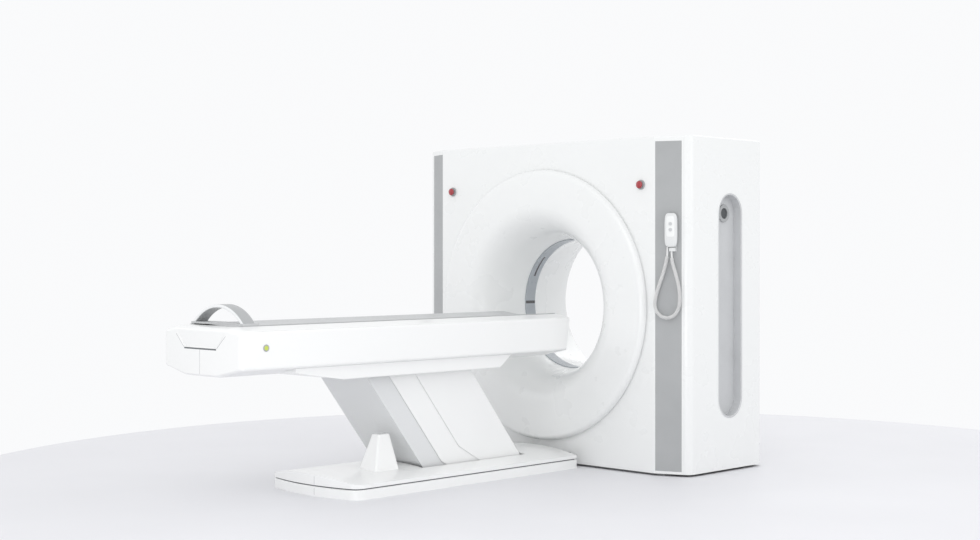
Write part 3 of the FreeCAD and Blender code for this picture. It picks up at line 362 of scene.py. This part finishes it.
def rounded_polygon(corners, radii, steps=8):
    """Polygon with each corner replaced by a circular arc, as dense points. The arc's centre lies on the line
    that halves the corner, at radius / sin(half the corner's angle)."""
    points = []
    n = len(corners)
    for k, radius in enumerate(radii):
        p, c, q = (np.asarray(corners[(k + i) % n], float) for i in (-1, 0, 1))
        u, w = unit(p - c), unit(q - c)
        half = math.acos(np.clip(np.dot(u, w), -1, 1)) / 2
        cut = radius / math.tan(half)
        middle = c + unit(u + w) * (radius / math.sin(half))
        start, end = c + u * cut - middle, c + w * cut - middle
        first = math.atan2(start[1], start[0])
        turn = (math.atan2(end[1], end[0]) - first + math.pi) % (2 * math.pi) - math.pi
        points.append(middle + arc(radius, first + turn * np.linspace(0, 1, steps)))
    return np.concatenate(points)


def distances(points):
    """How far each point of a line lies from its start, measured along it."""
    return np.r_[0, np.cumsum(np.linalg.norm(np.diff(points, axis=0), axis=1))]


def placed(points, want):
    """Points at the wanted distances along a line, by straight interpolation."""
    at = distances(points)
    return np.stack([np.interp(want, at, column) for column in points.T], -1)


# ---- gantry: ring cover ----
def ring_profile():
    """Section of the ring cover, as (radius, Y) points out from the throat and back again inside its wall.
    The bell mouth is a quarter ellipse, the rim is a quarter circle, and the face between them is crowned by
    crown * s^1.7."""
    throat_y, bell_width, bell_depth = -0.040, 0.178, 0.299
    face_y0, crown, wall = -0.339, 0.005, 0.005
    rim_r, rim_y, rim_round = 0.719, -0.306, 0.028

    def bell(t, inset=0.0):
        return np.c_[RING_JOIN_R - (bell_width - inset) * np.cos(t),
                     throat_y - (bell_depth - inset) * np.sin(t)]

    def face(s, inset=0.0):
        return np.c_[RING_JOIN_R + (rim_r - RING_JOIN_R) * s, face_y0 + inset + crown * s ** 1.7]

    def rim(t, radius):
        return np.c_[rim_r + radius * np.sin(t), rim_y - radius * np.cos(t)]

    quarter = math.pi / 2
    outer = [bell(np.linspace(0, quarter, 48)), face(np.linspace(0.06, 0.96, 14)),
             rim(np.linspace(0, quarter, 14), rim_round)]
    lip = [(0.747, -0.2995), (0.741, -0.299), (0.741, -0.2932), (0.7365, -0.2932), (0.7365, -0.301)]
    inner = [rim(np.linspace(quarter, 0, 8), rim_round - wall), face(np.linspace(0.96, 0.06, 6), wall),
             bell(np.linspace(quarter, 0, 24), wall)]
    return np.concatenate(outer + [lip] + inner)


revolved("ring_cover_skin", ring_profile(), 192, "panel_white", "frame", ["ring_cover"])


# ---- gantry: hand controller's coiled cord ----
# The cord's route on the right facet, as (along, height) in millimetres.
CORD = [(78, 1187), (78, 1146), (70, 1104), (54, 1046), (32, 988), (15, 930), (8, 878), (30, 836), (74, 817),
        (118, 834), (142, 880), (144, 938), (137, 992), (124, 1042), (109, 1088), (100, 1127), (100, 1165)]


def cord_route():
    """Points along the smooth line of the cord's route."""
    curve = bpy.data.curves.new("route", "CURVE")
    curve.dimensions = "3D"
    curve.resolution_u = 24
    spline = curve.splines.new("NURBS")
    spline.points.add(len(CORD) - 1)
    for point, (along, z) in zip(spline.points, CORD):
        point.co = (*facet(along / 1000, CORD_OUT, z / 1000), 1)
    spline.order_u = 3
    spline.use_endpoint_u = True
    holder = bpy.data.objects.new("route", curve)
    mesh = bpy.data.meshes.new_from_object(holder)
    points = np.array([v.co[:] for v in mesh.vertices])
    bpy.data.objects.remove(holder)
    bpy.data.curves.remove(curve)
    bpy.data.meshes.remove(mesh)
    return points


def resampled(points, step):
    """Points at even steps along a line, and their distances from its start."""
    total = distances(points)[-1]
    at = np.linspace(0, total, max(int(total / step), 2))
    return placed(points, at), at


def coiled_cord():
    """Helix wound round the route between two straight leads: route + coil (side cos a + out sin a), with
    a = 2 pi * distance / pitch. The coil's radius falls to zero at the leads, where the wire is thicker."""
    lead_top, lead_end, ramp = 0.045, 0.03, 0.008
    pitch, coil, wire, thicker = 0.0064, 0.0074, 0.0025, 0.0024
    route = cord_route()
    centre, at = resampled(route, 0.0006)
    total = at[-1]
    side = unit(np.cross(unit(np.gradient(centre, axis=0)), OUTWARD))
    rise = np.clip((at - lead_top) / ramp, 0, 1) * np.clip((total - lead_end - at) / ramp, 0, 1)
    rise = (rise * rise * (3 - 2 * rise))[:, None]
    turn = (2 * math.pi * at / pitch)[:, None]
    path = centre + coil * rise * (np.cos(turn) * side + np.sin(turn) * OUTWARD)
    tangent = unit(np.gradient(path, axis=0))
    a = unit(np.cross(tangent, OUTWARD))
    b = np.cross(tangent, a)
    ring = np.linspace(0, 2 * math.pi, 8, endpoint=False)[:, None]
    section = np.cos(ring) * a[:, None] + np.sin(ring) * b[:, None]
    points = path[:, None] + (wire + thicker * (1 - rise))[..., None] * section
    cord = mesh_piece("controller_cord_coil", points, tube_faces(*points.shape[:2]), "cord_rubber", "frame",
                      ["controller_cord"], 60.0)


coiled_cord()


# ---- gantry: controls ----
def mushroom_profile():
    """Emergency stop's head as (radius, height) points: stem, rounded rim, and a shallow dome that falls
    from its middle by 5.5 mm * (radius / 16.8 mm)^2.2."""
    stem_r, stem_low, stem_high = 0.0108, -0.022, 0.0140
    t = np.linspace(0, math.pi, 10)
    rim = np.c_[0.0165 + 0.0035 * np.sin(t), 0.0178 - 0.0035 * np.cos(t)]
    r = np.linspace(0.0160, 0.0006, 12)
    dome = np.c_[r, 0.0268 - 0.0055 * (r / 0.0168) ** 2.2]
    return np.concatenate([[(stem_r, stem_low), (stem_r, stem_high)], rim, dome])


for side, x in (("left", -0.706), ("right", 0.706)):
    turned_solid("estop_head_" + side, mushroom_profile(), (x, FRONT_Y, 1.514), (0, -1, 0), 40, "red_plastic",
                 "estop_" + side, ["estop_button_" + side])

# The hand controller: a pillow-shaped body, a face plate let into its front, and a seam round its waist.
pillow("controller_body", facet(CONTROLLER_ALONG, 0.023, CONTROLLER_Z), (ALONG, OUTWARD, UP),
       (0.033, 0.0139, 0.088), 4.5, "controller_white", "frame", ["hand_controller"])
pillow("controller_face", facet(CONTROLLER_ALONG, 0.0352, CONTROLLER_Z + 0.018), (ALONG, OUTWARD, UP),
       (0.0215, 0.0022, 0.054), 6.0, "panel_white", "frame")
pillow("controller_seam", facet(CONTROLLER_ALONG, 0.0225, CONTROLLER_Z), (ALONG, OUTWARD, UP),
       (0.03318, 0.0006, 0.08818), 4.5, "tray_grey", "frame")


# ---- table: foot cap ----
# The beam's section as (X, Z) corners, and the radius of each.
BEAM = [(0.300, 0.638), (0.300, 0.811), (0.208, 0.8275), (-0.208, 0.8275), (-0.300, 0.811), (-0.300, 0.638),
        (-0.127, 0.601), (0.127, 0.601)]
BEAM_RADII = [0.014, 0.016, 0.03, 0.03, 0.016, 0.014, 0.03, 0.03]


def evenly(points, count):
    """Points at even steps round a closed outline."""
    loop = np.vstack([points, points[:1]])
    return placed(loop, np.linspace(0, distances(loop)[-1], count, endpoint=False))


def scoop(x, z):
    """Depth of the foot cap's panel: deepest along the slot, fading to nothing at the top edge, with slanted
    sides from the slot's ends: depth = 7 mm * (1 - rise / 80 mm), eased in over 4 mm at its edges."""
    corner_x, corner_z, out, up = 0.126, 0.731, 0.079, 0.087
    deepest, low_edge, ease, height = 0.007, 0.729, 0.004, 0.080
    slant = (out * (z - corner_z) - up * (np.abs(x) - corner_x)) / math.hypot(out, up)
    inside = np.clip(np.minimum(slant, z - low_edge) / ease, 0, 1)
    return deepest * inside * inside * (3 - 2 * inside) * np.clip(1 - (z - corner_z) / height, 0, 1)


def foot_cap_skin():
    """The beam's section carried to the foot end. Over the last 26 mm it shrinks along a quarter circle, so
    the edges are round. Its top falls away by 10 mm, the face bows by x^2 / BOW, and the panel is scooped
    out of the face."""
    edge, middle_z, half_height, height_share = 0.026, 0.712, 0.113, 0.45
    fall_from, fall_run, fall, top_z, top_blend = -2.525, 0.046, 0.010, 0.79, 0.02
    bow_run, scoop_from, scoop_run, face_rings = 0.09, -2.541, 0.02, 60
    outline = evenly(rounded_polygon(BEAM, BEAM_RADII), 240)
    t = np.linspace(0, math.pi / 2, 10)[1:]
    straight = np.linspace(CAP_BACK_Y, FOOT_Y + edge, 6)
    y = np.r_[straight, FOOT_Y + edge * (1 - np.sin(t))][:, None]
    inset = np.r_[np.zeros(len(straight)), edge * (1 - np.cos(t))][:, None]
    x = outline[:, 0] * (1 - inset / BEAM_HALF)
    z = middle_z + (outline[:, 1] - middle_z) * (1 - inset * height_share / half_height)
    z -= np.clip((fall_from - y) / fall_run, 0, 1) ** 1.5 * fall * np.clip((z - top_z) / top_blend, 0, 1)
    shrink = np.linspace(0.985, 0.02, face_rings)[:, None]
    x = np.vstack([x, x[-1] * shrink])
    z = np.vstack([z, middle_z + (z[-1] - middle_z) * shrink])
    y = np.vstack([y, np.full((face_rings, 1), y[-1, 0])])
    bow = x ** 2 / BOW * np.clip((CAP_BACK_Y - y) / bow_run, 0, 1)
    near = np.clip((scoop_from - y) / scoop_run, 0, 1)
    points = np.stack([x, y + bow + near * scoop(x, z), z], -1)
    mesh_piece("foot_cap_skin", points, tube_faces(*x.shape), "table_white", "table_top", ["foot_cap"], 40.0)


def painted_shade_line(name, start, end, width, material="tube_lead"):
    """A shallow straight line of painted shade from one (x, z) point to another on the bowed face, y = FOOT_Y
    + x^2 / BOW.
    """
    x, z = np.linspace(start, end, 16).T
    path = np.stack([x, FOOT_Y + x * x / BOW + 0.0004, z], -1)
    swept(name, path, rounded_section(width / 2, 0.0006, 0.0004, 3), material, "table_top", side=(0, -1, 0))


foot_cap_skin()
# A dark strip painted across the face as the slot's shadow gap.
painted_shade_line("foot_slot_shadow_strip", (-0.123, SLOT_Z), (0.123, SLOT_Z), 0.007)
# Grey lines painted as the shade along the face's middle crease and the panel's slanted edges.
painted_shade_line("foot_crease_shade_middle", (0.0, 0.722), (0.0, 0.612), 0.0022, "grey_plastic")
painted_shade_line("foot_panel_edge_shade_left", (-0.127, 0.7305), (-0.190, 0.788), 0.0024, "grey_plastic")
painted_shade_line("foot_panel_edge_shade_right", (0.127, 0.7305), (0.190, 0.788), 0.0024, "grey_plastic")


# ---- table: couch top's handle ----
def arch_handle():
    """Strap along a circular arch over the couch's foot end, 72 mm deep. The arch's radius is
    (half span^2 + rise^2) / (2 * rise)."""
    base, half_span, rise = 0.836, 0.1865, 0.0805
    radius = (half_span ** 2 + rise ** 2) / (2 * rise)
    reach = math.asin(half_span / radius)
    t = np.linspace(-reach, reach, 72)
    top = base + rise
    path = np.stack([radius * np.sin(t), np.full(72, HANDLE_Y), top - radius + radius * np.cos(t)], -1)
    swept("arch_handle", path, rounded_section(0.0074, 0.0358, 0.004), "handle_white", "cradle",
          ["cradle_handle"], side=(0, 1, 0))


arch_handle()


# ---- trim on the gantry and the base ----
def grip_lip(name, sign):
    """Rounded lip round the pill-shaped grip tray: straight sides and half-circle ends. Its section is an
    ellipse 10.4 mm wide and 5 mm thick."""
    x, y, radius, low, high = sign * 0.9725, 0.124, 0.1032, 0.281 + 0.108, 1.475 - 0.108
    bend = arc(radius, np.linspace(0, math.pi, 40))
    pill = np.concatenate([(y, high) + bend, (y, low) - bend])
    path = np.c_[np.full(len(pill), x), pill]
    section = arc(1.0, np.linspace(0, 2 * math.pi, 16, endpoint=False)) * (0.0052, 0.0025)
    bead(name, path, section, "panel_white", "frame", (sign, 0, 0))


grip_lip("grip_lip_right", 1)
grip_lip("grip_lip_left", -1)


def nose_y(x):
    """Y of the base's bowed front end: NOSE_Y + R - sqrt(R^2 - x^2), a circle of radius R."""
    return NOSE_Y + NOSE_R - np.sqrt(NOSE_R ** 2 - x * x)


def base_seam(name, low, high):
    """Fine upright seam on the base's front end, from one height to another."""
    z = np.linspace(low, high, 6)
    path = np.stack([np.full(6, SEAM_X), np.full(6, nose_y(SEAM_X) + 0.0003), z], -1)
    swept(name, path, rounded_section(0.0009, 0.0006, 0.0004, 3), "grey_plastic", "frame", side=(0, -1, 0))


base_seam("base_seam_low", 0.006, 0.041)
base_seam("base_seam_high", 0.056, 0.094)


def groove_shade_band():
    """Dark band of painted shade in the groove above the skirt: straight sides, a bowed front and 48 mm
    corners, 7.6 mm in.
    """
    half, rear, front, depth, z = 0.3154, -0.3762, -1.9054, 0.0076, 0.050
    x = np.linspace(0.268, -0.268, 9)
    nose = np.c_[x, nose_y(x) + depth]
    corners = [(half, rear), (half, front), *nose, (-half, front), (-half, rear)]
    radii = [0.002, 0.048, 0.3] + [0.6] * (len(nose) - 2) + [0.3, 0.048, 0.002]
    outline = rounded_polygon(corners, radii, 6)
    path = np.c_[outline, np.full(len(outline), z)]
    section = np.array([(-0.0003, -0.0028), (0.0003, -0.0028), (0.0003, 0.0028), (-0.0003, 0.0028)])
    bead("groove_shade_band", path, section, "tube_lead", "frame", (0, 0, 1))


groove_shade_band()


# ---- table: blind in the front leg ----
def leg_blind():
    """Pleated blind over the front leg's notch, where the leg comes down over the pump tower.
    Two sheets 2 mm apart, each pleated by 0.3 mm * cos(2 pi * distance up the leg / 12.5 mm), are joined
    round their rim."""
    lean = math.radians(LEAN)
    along = np.array([0.0, -math.sin(lean), math.cos(lean)])
    back = np.array([0.0, math.cos(lean), math.sin(lean)])
    foot = np.array([0.0, -1.295, 0.075])
    low, high = 0.184, 0.401
    x, s = np.meshgrid(np.linspace(0.0235, 0.1805, 24), np.linspace(low, high, 88), indexing="ij")
    pleat = 0.0003 * np.cos(s / 0.0125 * 2 * math.pi)
    sheet = foot + x[..., None] * np.array([1.0, 0, 0]) + s[..., None] * along
    points = np.stack([sheet + (depth + pleat)[..., None] * back for depth in (-0.0465, -0.0445)])
    front = np.array(grid_faces(*x.shape, False, False))
    order = np.arange(x.size).reshape(x.shape)
    rim = np.concatenate([order[:, 0], order[-1, 1:], order[-2::-1, -1], order[0, -2:0:-1]])
    after = np.roll(rim, -1)
    edges = np.stack([rim, after, after + x.size, rim + x.size], -1)
    faces = np.concatenate([front, x.size + front[:, ::-1], edges]).tolist()
    # The blind is coloured leg_grey: white plastic darkened as painted shade.
    blind = mesh_piece("leg_blind", points, faces, "leg_grey", "front_arm")
    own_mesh(blind)


leg_blind()


# ---- floor, lights, camera ----
def stage_floor():
    """Round studio floor of 3.43 m radius: rings of points (x, y) + r (cos a, sin a), all at height 0."""
    around, centre = 128, np.array([0.582, -0.567])
    turn = np.linspace(0, 2 * math.pi, around, endpoint=False)
    radii = np.array([0.4, 1.2, 2.2, 3.0, 3.43])
    rings = centre + radii[:, None, None] * arc(1.0, turn)
    points = np.concatenate([rings, np.zeros((*rings.shape[:2], 1))], -1).reshape(-1, 3)
    faces = grid_faces(len(radii), around, False, True) + [list(range(around))]
    mesh = bpy.data.meshes.new("floor")
    mesh.from_pydata(points.tolist(), [], faces)
    floor = bpy.data.objects.new("floor", mesh)
    bpy.context.scene.collection.objects.link(floor)
    m = Mat("floor_paint", 0.6)
    m.colour((0.76, 0.76, 0.785), (0.79, 0.79, 0.815), 0.8)
    m.bump(60, 0.0005, 0.2)
    mesh.materials.append(m.mat)


def area_light(name, at, aim, size, power):
    """A rectangular lamp at one point, turned to face another."""
    light = bpy.data.lights.new(name, "AREA")
    light.shape = "RECTANGLE"
    light.size, light.size_y = size
    light.energy = power
    lamp = bpy.data.objects.new(name, light)
    lamp.location = at
    lamp.rotation_euler = (Vector(aim) - Vector(at)).to_track_quat("-Z", "Y").to_euler()
    bpy.context.scene.collection.objects.link(lamp)


stage_floor()
area_light("key", (3.2, -5.2, 5.0), (0.0, -0.6, 0.8), (3.5, 3.0), 45)
area_light("fill", (-5.5, -4.5, 3.2), (0.0, -0.8, 0.8), (4.0, 3.0), 15)
area_light("low", (2.6, -4.2, 0.7), (0.1, -0.3, 0.45), (2.0, 0.8), 14)
area_light("side", (6.0, 0.5, 3.0), (0.9, 0.0, 0.9), (3.0, 3.0), 25)
area_light("back", (-1.0, 5.5, 4.0), (0.0, 0.0, 0.9), (4.0, 3.0), 40)

world = bpy.data.worlds.new("studio")
bpy.context.scene.world = world
world.use_nodes = True
background = world.node_tree.nodes["Background"]
background.inputs["Color"].default_value = (0.985, 0.99, 1.0, 1)
background.inputs["Strength"].default_value = 0.97

camera = bpy.data.cameras.new("camera")
camera.lens = 57.12
camera.sensor_width = 36.0
camera.shift_y = -0.0184
view = bpy.data.objects.new("camera", camera)
view.location = (5.848, -6.651, 1.162)
view.rotation_euler = (math.radians(90), 0, math.radians(44.516))
bpy.context.scene.collection.objects.link(view)
bpy.context.scene.camera = view
bpy.context.scene.view_settings.view_transform = "Standard"
